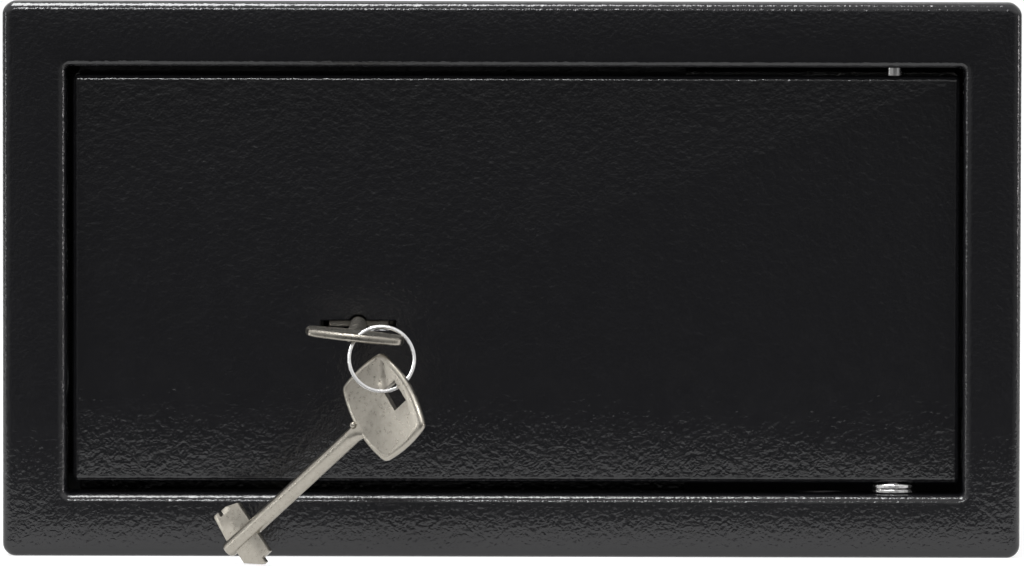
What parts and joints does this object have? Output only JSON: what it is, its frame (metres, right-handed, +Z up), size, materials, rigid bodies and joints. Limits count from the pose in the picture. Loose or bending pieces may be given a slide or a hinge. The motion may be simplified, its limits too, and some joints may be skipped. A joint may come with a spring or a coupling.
{
  "type": "wall safe",
  "caption": "Key-operated wall safe: black steel box with a flanged frame, a recessed hinged door, a double-bit lever lock, sliding bolts, and keys on a ring.",
  "frame": {"origin": "centre of the back plate's rear face", "axes": "+X to the right seen from the front, +Y from the door towards the wall, +Z up"},
  "size_m": [0.35, 0.2729, 0.191],
  "materials": {
    "powder_black": "glossy fine orange-peel powder coat",
    "zinc_steel": "zinc-plated steel",
    "bright_steel": "bright turned or drawn steel",
    "brass": "plain brass",
    "black_oxide": "blackened steel",
    "key_nickel": "satin nickel-plated cast key",
    "grey_felt": "dark grey needle felt"
  },
  "bodies": {
    "cabinet": {"front_frame": "powder_black", "body_shell": "powder_black", "back_plate": "powder_black", "floor_mat": "grey_felt", "door_stop_upper": "powder_black", "door_stop_lower": "powder_black", "hinge_pin_upper": "bright_steel", "hinge_pin_lower": "bright_steel", "hinge_washer_1": "bright_steel"},
    "door": {"door_plate": "powder_black", "hinge_plate_upper": "zinc_steel", "hinge_plate_lower": "zinc_steel", "hinge_washer_2": "bright_steel", "hinge_side_bar": "zinc_steel", "lock_case": "zinc_steel", "lock_cover": "zinc_steel", "lock_screw_1": "zinc_steel", "lock_screw_2": "zinc_steel", "lock_screw_3": "zinc_steel", "lock_screw_4": "zinc_steel", "lever_post": "bright_steel", "lever_spring": "bright_steel", "guide_stud_upper": "zinc_steel", "guide_stud_lower": "zinc_steel"},
    "bolt_work": {"lock_bolt": "zinc_steel", "bolt_bar": "zinc_steel", "drive_screw": "zinc_steel", "locking_bolt_upper": "bright_steel", "locking_bolt_lower": "bright_steel", "bolt_screw_upper": "zinc_steel", "bolt_screw_lower": "zinc_steel"},
    "levers": {"lever_1": "brass", "lever_2": "brass", "lever_3": "brass", "lever_4": "brass", "lever_5": "brass"},
    "curtain": {"key_curtain": "black_oxide"},
    "lock_key": {"inserted_key": "key_nickel"},
    "ring": {"key_ring": "bright_steel"},
    "hanging_key": {"spare_key": "key_nickel"}
  },
  "joints": [
    {"name": "door_swing", "type": "hinge", "parent": "cabinet", "child": "door", "pos_m": [0.1318, -0.186, 0], "axis": [0, 0, 1], "range_deg": [0, 100]},
    {"name": "key_turn", "type": "hinge", "parent": "door", "child": "curtain", "pos_m": [-0.0528, -0.186, -0.0159], "axis": [0, -1, 0], "range_deg": [0, 180]},
    {"name": "key_withdraw", "type": "slide", "parent": "curtain", "child": "lock_key", "axis": [0, -1, 0], "range_m": [0, 0.07]},
    {"name": "bolt_throw", "type": "slide", "parent": "door", "child": "bolt_work", "axis": [-1, 0, 0], "range_m": [0, 0.011]},
    {"name": "lever_lift", "type": "hinge", "parent": "door", "child": "levers", "pos_m": [-0.027, -0.179, 0.014], "axis": [0, 1, 0], "range_deg": [0, 2]},
    {"name": "ring_swing", "type": "hinge", "parent": "lock_key", "child": "ring", "pos_m": [-0.0545, -0.2586, -0.0175], "axis": [0.9945, 0, -0.1045], "range_deg": [-12, 15]},
    {"name": "spare_slide", "type": "hinge", "parent": "ring", "child": "hanging_key", "pos_m": [-0.04357, -0.26098, -0.02324], "axis": [-0.093, 0.9733, -0.2101], "range_deg": [-50, 50]}
  ],
  "couplings": [
    {"joint": "key_turn", "follows": "bolt_throw", "rad_per_m": 285.6}
  ]
}
